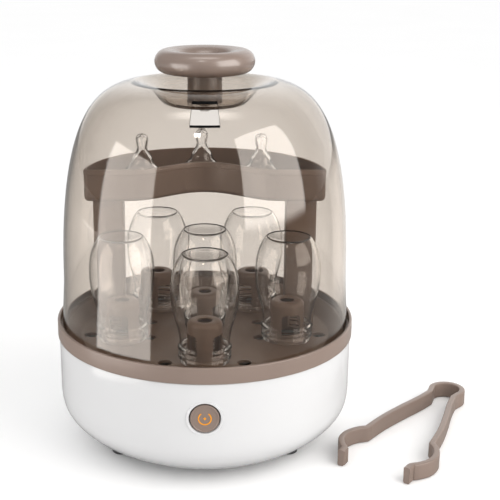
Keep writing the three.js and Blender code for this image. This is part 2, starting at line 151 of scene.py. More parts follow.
def finished_mesh(name, build, sharp=32):
    """A piece from a bmesh in millimetres above the table, shaded smooth up to an angle."""
    bmesh.ops.remove_doubles(build, verts=build.verts, dist=1e-4)
    bmesh.ops.recalc_face_normals(build, faces=build.faces)
    bmesh.ops.scale(build, vec=(MM, MM, MM), verts=build.verts)
    bmesh.ops.translate(build, vec=(0, 0, TABLE), verts=build.verts)
    mesh = bpy.data.meshes.new(name)
    build.to_mesh(mesh)
    build.free()
    smooth(mesh, sharp)
    return link(name, mesh)


def smooth(mesh, sharp=32):
    mesh.shade_smooth()
    mesh.set_sharp_from_angle(angle=math.radians(sharp))


def spin(build, profile, steps, centre=(0, 0), closed=True):
    """Turns a profile of (radius, height) about a vertical line."""
    rings = []
    for r, z in profile:
        if r < 1e-6:
            rings.append([build.verts.new((centre[0], centre[1], z))])
            continue
        rings.append(
            [
                build.verts.new((centre[0] + r * math.cos(a), centre[1] + r * math.sin(a), z))
                for a in (2 * math.pi * k / steps for k in range(steps))
            ]
        )
    pairs = list(zip(rings, rings[1:]))
    if closed:
        pairs.append((rings[-1], rings[0]))
    for low, high in pairs:
        if len(low) == 1 and len(high) == 1:
            continue
        for k in range(steps):
            following = (k + 1) % steps
            below = [low[k % len(low)], low[following % len(low)]]
            above = [high[following % len(high)], high[k % len(high)]]
            build.faces.new(list(dict.fromkeys([*below, *above])))


def lathe(name, profile, steps=128, place=None, closed=True, sharp=32):
    """A turned piece, with the middle of its underside at a place. Its corners may hold a fillet's radius."""
    build = bmesh.new()
    spin(build, filleted(profile, closed), steps)
    obj = finished_mesh(name, build, sharp)
    if place is not None:
        obj.data.transform(Matrix.Translation(place - Vector((0, 0, TABLE))))
    return obj


def lofted(name, rings, sharp=32, paired=False):
    """A skin over rings of points of equal number, with a face across each end.

    Paired ends are strips between the two halves of the ring, which suits a crescent.
    """
    build = bmesh.new()
    made = [[build.verts.new(point) for point in ring] for ring in rings]
    count = len(rings[0])
    for low, high in zip(made, made[1:]):
        for k in range(count):
            build.faces.new((low[k], low[(k + 1) % count], high[(k + 1) % count], high[k]))
    for ring in (made[0], made[-1]):
        if paired:
            for k in range(count // 2 - 1):
                build.faces.new((ring[k], ring[k + 1], ring[count - 2 - k], ring[count - 1 - k]))
        else:
            build.faces.new(ring)
    return finished_mesh(name, build, sharp)


def drawn_in(path, distance):
    """An open path of (radius, height) moved to its left by a distance."""
    drawn = []
    for i, point in enumerate(path):
        along = (path[min(i + 1, len(path) - 1)] - path[max(i - 1, 0)]).normalized()
        drawn.append(Vector((max(point.x - along.y * distance, 0), point.y + along.x * distance)))
    return drawn


def inset_ring(outline, inset, z):
    """A closed outline drawn in by a distance, at a height."""
    count = len(outline)
    ring = []
    for i, point in enumerate(outline):
        along = (outline[(i + 1) % count] - outline[i - 1]).normalized()
        ring.append((point.x - along.y * inset, point.y + along.x * inset, z))
    return ring


def carve(obj, cutters, operation="DIFFERENCE"):
    """Cuts the cutters out of a piece for good, or joins them to it."""
    for number, cutter in enumerate(cutters):
        change = obj.modifiers.new(f"cut_{number}", "BOOLEAN")
        change.operation = operation
        change.solver = "EXACT"
        change.object = cutter
    bake(obj)
    for cutter in cutters:
        bpy.data.objects.remove(cutter)
    smooth(obj.data)


def bake(obj):
    """Replaces a piece's mesh by what its modifiers make of it."""
    graph = bpy.context.evaluated_depsgraph_get()
    made = bpy.data.meshes.new_from_object(obj.evaluated_get(graph))
    obj.modifiers.clear()
    obj.data = made


def merged(name, pieces):
    """One mesh out of several loose pieces."""
    build = bmesh.new()
    for loose in pieces:
        build.from_mesh(loose.data)
        bpy.data.objects.remove(loose)
    mesh = bpy.data.meshes.new(name)
    build.to_mesh(mesh)
    build.free()
    smooth(mesh)
    return link(name, mesh)


def turned(obj, degrees, axis="Z"):
    """Turns a piece's mesh about an axis of the frame."""
    obj.data.transform(Matrix.Rotation(math.radians(degrees), 4, axis))


def moved(obj, x, y, z):
    """Moves a piece's mesh, in metres."""
    obj.data.transform(Matrix.Translation((x, y, z)))


def laid_along_y(obj, degrees, height):
    """Lays down a piece made upright on the table, turned about X, at a height in metres."""
    moved(obj, 0, 0, -TABLE)
    turned(obj, degrees, "X")
    moved(obj, 0, 0, height)
    return obj


def drill(size, x, y, low, high, steps=40):
    """A round cutter standing at a place, in millimetres."""
    build = bmesh.new()
    spin(build, [(0, low), (size, low), (size, high), (0, high)], steps, (x, y), closed=False)
    return finished_mesh("drill", build)


def polar(distance, degrees):
    return distance * math.cos(math.radians(degrees)), distance * math.sin(math.radians(degrees))


# ---- materials -------------------------------------------------------------------------------
class Nodes:
    """A short way to write a node tree."""

    def __init__(self, name):
        self.material = bpy.data.materials.new(name)
        self.material.use_nodes = True
        self.tree = self.material.node_tree
        self.tree.nodes.clear()
        self.output = self.add("ShaderNodeOutputMaterial")

    def add(self, kind, **values):
        node = self.tree.nodes.new(kind)
        for key, value in values.items():
            setattr(node, key, value)
        return node

    def join(self, source, target):
        self.tree.links.new(source, target)

    def noise(self, scale, detail=3.0, stretch=(1, 1, 1)):
        """Noise over the piece's own space, in features per metre."""
        place = self.add("ShaderNodeTexCoord")
        move = self.add("ShaderNodeMapping")
        move.inputs["Scale"].default_value = stretch
        texture = self.add("ShaderNodeTexNoise")
        texture.inputs["Scale"].default_value = scale
        texture.inputs["Detail"].default_value = detail
        self.join(place.outputs["Object"], move.inputs["Vector"])
        self.join(move.outputs["Vector"], texture.inputs["Vector"])
        return texture.outputs["Fac"]

    def spread(self, value, low, high):
        """Maps the middle of a noise to a range."""
        node = self.add("ShaderNodeMapRange")
        node.inputs["From Min"].default_value = 0.3
        node.inputs["From Max"].default_value = 0.7
        node.inputs["To Min"].default_value = low
        node.inputs["To Max"].default_value = high
        self.join(value, node.inputs["Value"])
        return node.outputs["Result"]

    def tint(self, value, first, second):
        node = self.add("ShaderNodeMix", data_type="RGBA")
        node.inputs[6].default_value = (*first, 1)
        node.inputs[7].default_value = (*second, 1)
        self.join(self.spread(value, 0, 1), node.inputs[0])
        return node.outputs[2]

    def bump(self, height, depth):
        node = self.add("ShaderNodeBump")
        node.inputs["Distance"].default_value = depth
        node.inputs["Strength"].default_value = 1
        self.join(height, node.inputs["Height"])
        return node.outputs["Normal"]


def moulded(name, colour, rough, grain=0.00002, grain_scale=900, shine=0.5, change=0.05):
    """Moulded plastic: slight cloudiness in the colour, an uneven gloss and a fine grain."""
    nodes = Nodes(name)
    shader = nodes.add("ShaderNodeBsdfPrincipled")
    lighter = [min(1, c * (1 + change)) for c in colour]
    darker = [c * (1 - change) for c in colour]
    nodes.join(nodes.tint(nodes.noise(14), darker, lighter), shader.inputs["Base Color"])
    nodes.join(nodes.spread(nodes.noise(45), rough * 0.88, rough * 1.12), shader.inputs["Roughness"])
    nodes.join(nodes.bump(nodes.noise(grain_scale, 2), grain), shader.inputs["Normal"])
    shader.inputs["Specular IOR Level"].default_value = shine
    nodes.join(shader.outputs["BSDF"], nodes.output.inputs["Surface"])
    return nodes.material


def brushed(name, colour, rough, stretch=(1, 30, 1)):
    """Metal with fine lines drawn along one axis."""
    nodes = Nodes(name)
    shader = nodes.add("ShaderNodeBsdfPrincipled")
    shader.inputs["Metallic"].default_value = 1
    lines = nodes.noise(120, 4, stretch)
    nodes.join(nodes.tint(lines, [c * 0.85 for c in colour], colour), shader.inputs["Base Color"])
    nodes.join(nodes.spread(lines, rough * 0.8, rough * 1.3), shader.inputs["Roughness"])
    nodes.join(nodes.bump(lines, 0.00002), shader.inputs["Normal"])
    nodes.join(shader.outputs["BSDF"], nodes.output.inputs["Surface"])
    return nodes.material


def see_through(name, ior, shade, absorb=None, density=0.0):
    """Clear glass or plastic that bends light, and lets lamplight through to what is inside."""
    nodes = Nodes(name)
    glass = nodes.add("ShaderNodeBsdfGlass")
    glass.inputs["IOR"].default_value = ior
    glass.inputs["Color"].default_value = (1, 1, 1, 1)
    nodes.join(nodes.spread(nodes.noise(30), 0, 0.006), glass.inputs["Roughness"])
    clear = nodes.add("ShaderNodeBsdfTransparent")
    clear.inputs["Color"].default_value = (*shade, 1)
    path = nodes.add("ShaderNodeLightPath")
    either = nodes.add("ShaderNodeMath", operation="MAXIMUM")
    nodes.join(path.outputs["Is Shadow Ray"], either.inputs[0])
    nodes.join(path.outputs["Is Diffuse Ray"], either.inputs[1])
    mix = nodes.add("ShaderNodeMixShader")
    nodes.join(either.outputs[0], mix.inputs[0])
    nodes.join(glass.outputs["BSDF"], mix.inputs[1])
    nodes.join(clear.outputs["BSDF"], mix.inputs[2])
    nodes.join(mix.outputs["Shader"], nodes.output.inputs["Surface"])
    if absorb:
        fog = nodes.add("ShaderNodeVolumeAbsorption")
        fog.inputs["Color"].default_value = (*absorb, 1)
        fog.inputs["Density"].default_value = density
        nodes.join(fog.outputs["Volume"], nodes.output.inputs["Volume"])
    return nodes.material


def lit_mark(name, colour, strength):
    """A printed mark with a lamp behind it."""
    nodes = Nodes(name)
    shader = nodes.add("ShaderNodeBsdfPrincipled")
    glow = nodes.tint(nodes.noise(300), [c * 0.93 for c in colour], colour)
    nodes.join(glow, shader.inputs["Base Color"])
    nodes.join(glow, shader.inputs["Emission Color"])
    shader.inputs["Emission Strength"].default_value = strength
    shader.inputs["Roughness"].default_value = 0.35
    nodes.join(shader.outputs["BSDF"], nodes.output.inputs["Surface"])
    return nodes.material


TAUPE_COLOUR = (0.235, 0.177, 0.148)
WHITE_COLOUR = (0.645, 0.645, 0.65)
WHITE = moulded("white_gloss", WHITE_COLOUR, 0.13, grain=0.000004, grain_scale=260, shine=0.45, change=0.008)
TAUPE = moulded("taupe_satin", TAUPE_COLOUR, 0.33, shine=0.35)
TAUPE_GLOSS = moulded("taupe_gloss", TAUPE_COLOUR, 0.25, grain=0.000008, shine=0.9)
# The stem's colour is the taupe made darker: painted shade for the shadow under the knob.
STEM_PAINTED_SHADE = moulded("stem_painted_shade", (0.19, 0.15, 0.125), 0.3)
SMOKE = see_through("smoked_clear", 1.55, (0.76, 0.735, 0.71), (0.44, 0.25, 0.04), 104)
GLASS = see_through("bottle_glass", 1.47, (0.97, 0.97, 0.97))
SILICONE = see_through("clear_silicone", 1.43, (0.95, 0.95, 0.94))
AMBER = lit_mark("amber_mark", (0.74, 0.285, 0.008), 0.16)
RUBBER = moulded("black_rubber", (0.05, 0.05, 0.052), 0.7, grain=0.00006)
BLACK = moulded("black_plastic", (0.02, 0.02, 0.02), 0.5)
SEAL = moulded("pale_silicone", (0.6, 0.57, 0.53), 0.6)
BOARD = moulded("circuit_board", (0.02, 0.14, 0.06), 0.35, change=0.3)
STEEL = brushed("brushed_steel", (0.62, 0.62, 0.63), 0.28)
ALUMINIUM = brushed("cast_aluminium", (0.5, 0.5, 0.5), 0.5, (3, 3, 3))


def paint(obj, material):
    obj.data.materials.clear()
    obj.data.materials.append(material)


def piece(obj, material, body, slot, *nodes):
    """Gives a piece its material and its body, and hides the nodes that it stands for. The slot is not used.
    """
    paint(obj, material)
    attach(obj, body)
    if nodes:
        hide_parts(*nodes)


# ---- base ------------------------------------------------------------------------------------
BASE_TOP = heights("base_housing")[1]
BASE_RADIUS = radius("base_housing")
BASE_SIDE = [  # radius and height, from the seam with the bottom cover up
    (101.2, 9.6),
    (107.6, 12),
    (115.6, 18),
    (123.7, 26),
    (129.2, 35),
    (131.3, 46),
    (131.5, 60),
    (131.6, 80),
]
BASE_WALL = 3
CORD_OUTLET = 7  # its radius
BASIN = {"deck": 92, "radius": 104, "floor": 64, "floor_radius": 98, "hole": 72, "post": 4.5}
BUTTON_HEIGHT = sum(heights("power_button")) / 2
BUTTON_FACE = -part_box("power_button")[0].y / MM
BUTTON_WELL = 14.2  # its radius
CAP_RIM = BUTTON_FACE - 0.35  # how far out the cap's raised rim is
MARK = {"inner": 4.65, "outer": 5.65, "dot": 1.35, "thick": 0.25, "start": 125, "sweep": 290}


def make_base():
    """The outer wall, with the button's well at the front and the cord's outlet at the back."""
    seam = radius("bottom_cover") + GAP
    outer = curve_through(BASE_SIDE, 7)
    inner = []
    for point in reversed(outer):
        drop = 1 - point.y / outer[-1].y
        inner.append((point.x - BASE_WALL * (1 - drop / 2), point.y + BASE_WALL * drop))
    profile = [
        (seam, outer[0].y),
        *outer,
        (BASE_RADIUS, BASE_TOP, 0.8),
        (BASE_RADIUS - BASE_WALL, BASE_TOP, 0.8),
        *inner,
        (seam, inner[-1][1]),
    ]
    shell = lathe("base_shell", profile, 256)
    near, far = 115, 145  # the cutters go from inside the wall to beyond it
    well = laid_along_y(drill(BUTTON_WELL, 0, 0, -far, -near, 72), -90, TABLE + BUTTON_HEIGHT * MM)
    gland_height = sum(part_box("cord_gland"), Vector()).z / 2
    outlet = laid_along_y(drill(CORD_OUTLET, 0, 0, near, far, 32), -90, gland_height)
    carve(shell, [well, outlet])
    piece(shell, WHITE, "base", "white_plastic", "base_housing")


def make_basin():
    """The water basin under the rack, with the posts that the bottom screws go into."""
    edge = BASE_RADIUS - BASE_WALL - GAP
    deck, floor = BASIN["deck"], BASIN["floor"]
    profile = [
        (edge, deck, 0.5),
        (BASIN["radius"], deck, 2),
        (BASIN["floor_radius"], floor, 3),
        (BASIN["hole"], floor, 0.8),
        (BASIN["hole"], floor - BASE_WALL),
        (BASIN["floor_radius"] + BASE_WALL, floor - BASE_WALL, 3),
        (BASIN["radius"] + BASE_WALL, deck - BASE_WALL, 2),
        (edge, deck - BASE_WALL, 0.5),
    ]
    basin = lathe("basin_shell", profile, 192)
    low = heights("water_basin")[0]
    posts = []
    for number in range(1, 5):
        spot = stand(f"bottom_screw_{number}") / MM
        posts.append(drill(BASIN["post"], spot.x, spot.y, low, floor - 1, 32))
    carve(basin, posts, operation="UNION")
    piece(basin, WHITE, "base", "white_plastic", "water_basin")


def facing_front(obj):
    """Turns a piece made upright on the table to face the front, centred on the button."""
    return laid_along_y(obj, 90, TABLE + BUTTON_HEIGHT * MM)


def make_button():
    """The cap, and the pale ring round it."""
    face = CAP_RIM
    rim = radius("power_button") - 2.4
    back = 120
    bezel = lathe(
        "button_bezel",
        [
            (BUTTON_WELL - 1.5, back),
            (BUTTON_WELL - 0.15, back),
            (BUTTON_WELL - 0.15, face - 2.4),
            (BUTTON_WELL + 1.4, face - 2.4),
            (BUTTON_WELL + 1.4, face - 0.45, 0.4),
            (BUTTON_WELL + 0.7, face - 0.1, 0.5),
            (BUTTON_WELL - 0.9, face - 0.35, 0.4),
            (BUTTON_WELL - 1.5, face - 2.4, 0.3),
        ],
        96,
    )
    piece(facing_front(bezel), WHITE, "base", "white_plastic")
    cap = lathe(
        "button_cap",
        [
            (0, face - 7.5),
            (rim, face - 7.5),
            (rim, face - 0.2, 0.7),
            (rim - 1.0, face, 0.3),
            (rim - 1.5, face - 0.5, 0.4),
            (rim - 4, face - 0.7),
            (0, face - 0.75),
        ],
        96,
        closed=False,
    )
    piece(facing_front(cap), TAUPE, "power_button", "taupe_plastic", "power_button")


def make_mark():
    """The power mark: an open ring round a small diamond."""
    low = CAP_RIM - 0.72
    high = low + MARK["thick"]
    section = [(MARK["inner"], low), (MARK["outer"], low), (MARK["outer"], high), (MARK["inner"], high)]
    steps = 48
    build = bmesh.new()
    rings = []
    for k in range(steps + 1):
        angle = math.radians(MARK["start"] + MARK["sweep"] * k / steps)
        rings.append([build.verts.new((r * math.cos(angle), r * math.sin(angle), z)) for r, z in section])
    for one, other in zip(rings, rings[1:]):
        for k in range(4):
            build.faces.new((one[k], one[(k + 1) % 4], other[(k + 1) % 4], other[k]))
    build.faces.new(rings[0])
    build.faces.new(rings[-1])
    ring = finished_mesh("power_ring", build)
    piece(facing_front(ring), AMBER, "power_button", "amber_mark", "power_mark_ring")
    profile = [(0, low), (MARK["dot"], low), (MARK["dot"], high, 0.1), (0, high)]
    dot = lathe("power_dot", profile, 4, closed=False)
    piece(facing_front(dot), AMBER, "power_button", "amber_mark", "power_mark_dot")


AIR_SLOT_ROWS = (-27, -18, -9, 9, 18, 27)
AIR_SLOT = {"half_length": 20, "half_width": 1.5, "corner": 1.4}
SCREW_HOLE = 3.5  # its radius


def make_underside():
    """The bottom cover with its air slots and screw holes, and the feet."""
    low, high = heights("bottom_cover")
    cover = lathe(
        "cover_plate",
        [(0, low), (radius("bottom_cover"), low, 1), (radius("bottom_cover"), high, 0.3), (0, high)],
        160,
        closed=False,
    )
    slots = []
    end, half, corner = AIR_SLOT.values()
    for row in AIR_SLOT_ROWS:
        corners = [(-end, row - half), (end, row - half), (end, row + half), (-end, row + half)]
        outline = filleted([(*spot, corner) for spot in corners], True)
        slots.append(lofted("slot", [inset_ring(outline, 0, low - 1), inset_ring(outline, 0, high + 1)]))
    for number in range(1, 5):
        spot = stand(f"bottom_screw_{number}") / MM
        slots.append(drill(SCREW_HOLE, spot.x, spot.y, low - 1, high + 1, 24))
    carve(cover, slots)
    piece(cover, WHITE, "base", "white_plastic", "bottom_cover")
    for number in range(1, 5):
        name = f"foot_{number}"
        size = radius(name)
        tall = heights(name)[1]
        profile = [
            (0, 0.4),
            (size - 3, 0.4),
            (size - 2.6, 0, 0.3),
            (size - 0.6, 0, 0.6),
            (size, tall * 0.5),
            (size, tall),
            (0, tall),
        ]
        foot = lathe(f"rubber_foot_{number}", profile, 48, stand(name), closed=False)
        piece(foot, RUBBER, "base", "black_rubber", name)


# ---- rack ------------------------------------------------------------------------------------
STATIONS = ["front", "right", "back_right", "back_left", "left", "middle"]
RACK_TOP = heights("bottle_rack")[1]
RACK_RADIUS = radius("bottle_rack")
RACK_FLOOR = heights("bottle_peg_front")[0] - GAP
RIM_BOTTOM = BASE_TOP + GAP
PEG_HOLE = 10  # the radius of the hole in the floor under each peg
DRAIN = 6  # a drain hole's radius
DRAINS = [  # each hole's distance from the middle, and its angle to either side of the back
    (86.4, 18),
    (53.8, 0),
    (53.8, 68),
    (103.5, 97.5),
    (53.8, 111.8),
    (86.4, 157.2),
]


def make_rack():
    """The rim band, the step that the lid stands on, the sloping wall and the floor with its holes."""
    under = RACK_FLOOR - 2.6
    skirt = BASE_RADIUS - 3.3
    band, step, joint = 130.3, 107.6, 105
    profile = [
        (0, under),
        (111, under, 1),
        (122.5, joint, 2),
        (skirt - 2.4, joint, 1),
        (skirt - 2.4, RIM_BOTTOM - 3),
        (skirt, RIM_BOTTOM - 3),
        (skirt, RIM_BOTTOM, 0.3),
        (RACK_RADIUS, RIM_BOTTOM, 0.8),
        (RACK_RADIUS, RACK_TOP, 1.0),
        (band, RACK_TOP, 0.8),
        (band, step, 0.8),
        (123.5, step, 1.2),
        (119, 103.5, 2),
        (112, RACK_FLOOR, 4),
        (0, RACK_FLOOR),
    ]
    tray = lathe("rack_tray", profile, 192, closed=False)
    cutters = []
    for name in STATIONS:
        spot = stand(f"bottle_peg_{name}") / MM
        cutters.append(drill(PEG_HOLE, spot.x, spot.y, under - 1, RACK_FLOOR + 3, 32))
    for distance, angle in DRAINS:
        for side in (1, -1) if angle else (1,):
            cutters.append(drill(DRAIN, *polar(distance, 90 + side * angle), under - 1, RACK_FLOOR + 9, 32))
    carve(tray, cutters)
    piece(tray, TAUPE, "bottle_rack", "taupe_plastic", "bottle_rack")


PEG_WINDOW = [(-8.3, 7, 0.8), (8.3, 7, 0.8), (8.3, 27, 3.5), (-8.3, 27, 3.5)]


def make_peg(name):
    """A hollow peg with three windows, one of which faces the middle of the rack."""
    node = f"bottle_peg_{name}"
    low, high = heights(node)
    tall = high - low
    out = radius(node) - 2.5
    wall = 2
    profile = [
        (out - wall, 0.7),
        (out + 2.4, 0.7, 0.4),
        (out + 2.4, 2.4, 0.8),
        (out, 3.2, 1.2),
        (out, tall - 0.2, 5.5),
        (6.2, tall - 0.2, 1.0),
        (6.2, tall - wall, 0.4),
        (out - wall, tall - wall, 3.5),
    ]
    cap = lathe(f"peg_{name}", profile, 96)
    cutters = []
    for turn in (60, 180, 300):
        outline = filleted(PEG_WINDOW, True)
        cutter = lofted("window", [inset_ring(outline, 0, 4), inset_ring(outline, 0, 24)])
        laid_along_y(cutter, 90, TABLE)
        turned(cutter, 90 + turn)
        cutters.append(cutter)
    carve(cap, cutters)
    spot = stand(node)
    angle = math.degrees(math.atan2(spot.y, spot.x)) if name != "middle" else 270
    turned(cap, angle)
    moved(cap, spot.x, spot.y, spot.z - TABLE)
    piece(cap, TAUPE, "bottle_rack", "taupe_plastic", node)


# ---- bottles ---------------------------------------------------------------------------------
BOTTLE_WALL = 1.4
BOTTLE = {"neck": 21.2, "thread": 22.5, "collar": 22.9}  # radii
BOTTLE_SIDE = [  # radius and height, from the collar up, as the bottle stands on its neck
    (21.3, 15),
    (21.6, 21),
    (23.2, 30),
    (26.3, 41),
    (28.3, 52),
    (28.7, 62),
    (28.2, 72),
    (26.4, 81),
    (23.3, 88.4),
]
BOTTLE_HEEL = [  # radius, and drop below the highest ring
    (21.2, 2.6),
    (19.6, 0.5),
    (18.4, 0),
    (17.2, 0.5),
    (15.4, 1.5),
    (12, 2.1),
    (7, 2.3),
]


def make_bottle(name):
    """A bottle upside down: its threaded neck round the peg, its base with a hollow in it on top."""
    node = f"bottle_{name}"
    low, high = heights(node)
    tall = high - low
    neck, crest, collar = BOTTLE["neck"], BOTTLE["thread"], BOTTLE["collar"]
    bore = BOTTLE_SIDE[0][0] - BOTTLE_WALL
    side = curve_through(BOTTLE_SIDE, 4)
    heel = curve_through([(r, tall - drop) for r, drop in BOTTLE_HEEL], 4)
    outside = [*side, *heel, Vector((0, tall - BOTTLE_HEEL[-1][1]))]
    inside = drawn_in(outside, BOTTLE_WALL)
    thread = []
    for ridge in (4.6, 8.6):
        thread += [(neck, ridge - 1.3), (crest, ridge - 0.5), (crest, ridge + 0.5), (neck, ridge + 1.3)]
    profile = [
        (bore, 0.4),
        (neck - 0.8, 0),
        (neck, 0.5),
        *thread,
        (neck, 12),
        (collar, 12.6),
        (collar, 13.6),
        *outside,
        *reversed(inside),
        (bore, 12),
    ]
    obj = lathe(f"glass_{name}", profile, 96, stand(node), sharp=60)
    piece(obj, GLASS, node, "bottle_glass", node)


# ---- upper tray ------------------------------------------------------------------------------
TRAY_BOTTOM, TRAY_TOP = heights("accessory_tray")
TRAY_BACK = radius("accessory_tray") - 0.1
TRAY_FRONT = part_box("accessory_tray")[0].y / MM + 0.1
TRAY_HOLLOW = 33.9  # how far the front edge is drawn in at the middle
TRAY_WALL = 2.6
TRAY_HOLE = 3  # its radius
TRAY_HOLES = [(0, 50), (-28, 78), (28, 78), (-26, 42), (26, 42), (-84, 22), (84, 22)]


def tray_outline():
    """The crescent, seen from above: its back from right to left, then as many points along its front."""
    front, back = TRAY_FRONT, TRAY_BACK
    corner = 5.5
    tip = [(-back + 0.6, front + 9), (-back + 0.4, front, corner), (-back + 16, front)]
    left = filleted(tip, steps=8)[1:]
    hollow = []
    for k in range(49):
        x = -88 + 176 * k / 48
        rise = math.cos(math.pi * min(abs(x) / 66, 1) / 2) ** 2
        hollow.append(Vector((x, front + TRAY_HOLLOW * rise)))
    right = [Vector((-p.x, p.y)) for p in reversed(left)]
    near = [*left, *hollow, *right]
    start = math.asin((front + 9) / back)
    far = []
    for k in range(len(near)):
        angle = start + (math.pi - 2 * start) * k / (len(near) - 1)
        far.append(Vector((back * math.cos(angle), back * math.sin(angle))))
    return [*far, *near]


def make_upper_tray():
    """The tray's rounded underside, its rim and its inside as one skin, with small holes in its floor."""
    outline = tray_outline()
    wall = TRAY_WALL
    bend = 4.5
    rings = []
    for k in range(7):
        angle = math.radians(90 * k / 6)
        inset = bend * (1 - math.sin(angle))
        rings.append(inset_ring(outline, inset, TRAY_BOTTOM + bend * (1 - math.cos(angle))))
    for inset, drop in ((0, 5), (-0.35, 4.6), (-0.35, 1), (0, 0.3), (0.6, 0), (wall - 0.6, 0), (wall, 0.6)):
        rings.append(inset_ring(outline, inset, TRAY_TOP - drop))
    for k in range(5):
        angle = math.radians(90 * k / 4)
        inset = wall + 2 * (1 - math.cos(angle))
        rings.append(inset_ring(outline, inset, TRAY_BOTTOM + wall + 2 - 2 * math.sin(angle)))
    tray = lofted("upper_tray_shell", rings, paired=True)
    carve(tray, [drill(TRAY_HOLE, x, y, TRAY_BOTTOM - 1, TRAY_BOTTOM + 4, 24) for x, y in TRAY_HOLES])
    piece(tray, TAUPE, "upper_tray", "taupe_plastic", "accessory_tray")


def make_leg(side):
    """A leg of the tray: a channel, open to the back."""
    node = "tray_leg_right" if side > 0 else "tray_leg_left"
    low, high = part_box(node)
    x0, x1, y0, y1 = (v / MM for v in (low.x, high.x, low.y, high.y))
    z0, z1 = heights(node)
    wall = 2.5
    corners = [
        (x0, y0, 1.5),
        (x1, y0, 1.5),
        (x1, y1, 0.6),
        (x1 - wall, y1, 0.6),
        (x1 - wall, y0 + wall, 0.8),
        (x0 + wall, y0 + wall, 0.8),
        (x0 + wall, y1, 0.6),
        (x0, y1, 0.6),
    ]
    outline = filleted(corners, True)
    leg = lofted(node + "_channel", [inset_ring(outline, 0, z0), inset_ring(outline, 0, z1)])
    piece(leg, TAUPE, "upper_tray", "taupe_plastic", node)


# ---- teats -----------------------------------------------------------------------------------
TEAT_WALL = 1.9
TEAT_FLARE = [  # radius and height above the teat's own underside
    (20.4, 12.6),
    (17.2, 16),
    (14, 19),
    (11.4, 21.6),
    (10.2, 24.4),
    (9.2, 27.6),
    (7, 31),
    (5.3, 34.2),
]
TEAT_NIPPLE = [(4.9, 36.6), (5.4, 40), (5.8, 43.4)]


def make_teat(name):
    """A teat in its ribbed ring, standing on the tray."""
    node = f"teat_{name}"
    low, high = heights(node)
    tall = high - low
    edge = radius(node)
    tip = [(5.6, tall - 3.6), (4.4, tall - 1.4), (2.4, tall - 0.3), (0.8, tall)]
    outside = curve_through([*TEAT_FLARE, *TEAT_NIPPLE, *tip], 4)
    inside = [p for p in drawn_in(outside, TEAT_WALL) if p.y < tall - 3 and p.x > 1]
    rings = []
    for height in (5.2, 7.6):
        rings += [(19.2, height - 0.8), (20, height - 0.3), (20, height + 0.3), (19.2, height + 0.8)]
    profile = [
        (edge - 5.4, 0, 0.4),
        (edge - 0.2, 0, 0.8),
        (edge - 0.2, 2.6, 0.8),
        (19.2, 3.2, 0.5),
        *rings,
        (19.2, 10.4, 0.6),
        (20.8, 11.4, 0.5),
        *outside,
        (0.4, tall),
        (0.4, tall - 2.2),
        *reversed(inside),
        (17.3, 11),
        (17.3, 3),
    ]
    obj = lathe(f"silicone_{name}", profile, 72, stand(node), sharp=60)
    piece(obj, SILICONE, node, "clear_silicone", node)


# ---- lid -------------------------------------------------------------------------------------
LID_RADIUS = radius("lid_dome")
LID_BOTTOM = heights("lid_dome")[0]
LID = {
    "shoulder": 151.4,
    "radius": 126.1,
    "top": 326,
    "wall": 2.6,
    "rim": 60,  # the radius where the bowl starts
    "side_power": 5.24,
    "crown_power": 2.25,
}
BOWL = [  # radius, and drop below the rim
    (56, 0.5),
    (51.5, 2),
    (47.5, 4.2),
    (44.2, 6.5),
    (41, 9.8),
    (37.6, 13.4),
    (34.5, 16.2),
    (31.5, 17.9),
    (28, 18.5),
    (22, 18.6),
    (18, 18.6),
]
VENT = {"inner": 80.5, "outer": 98, "half": 7.0}  # two radii, and half its width in degrees
VENT_LOWEST = 250  # the vent is in the crown, above this height


def lid_face(inset, steps=64):
    """One face of the dome: a tapered foot, a superellipse over the crown, and the bowl sunk in it."""
    size = LID["radius"] - inset
    rise = LID["top"] - inset * 0.75 - LID["shoulder"]
    rim = LID["rim"] + inset / 2
    last = math.acos((rim / size) ** (LID["side_power"] / 2))
    points = [Vector((LID_RADIUS - 0.1 - inset, LID_BOTTOM + 0.4))]
    foot = points[0]
    for k in range(8):
        share = k / 8
        height = foot.y + 3.6 + (LID["shoulder"] - foot.y - 3.6) * share
        points.append(Vector((foot.x + (size - foot.x) * share, height)))
    for k in range(steps + 1):
        angle = last * (k / steps) ** 0.8
        across = size * math.cos(angle) ** (2 / LID["side_power"])
        points.append(Vector((across, LID["shoulder"] + rise * math.sin(angle) ** (2 / LID["crown_power"]))))
    top = points[-1].y
    bowl = [Vector((r + inset / 2, top - drop)) for r, drop in BOWL]
    return [*points[:-1], *curve_through([points[-1], *bowl], 4)]


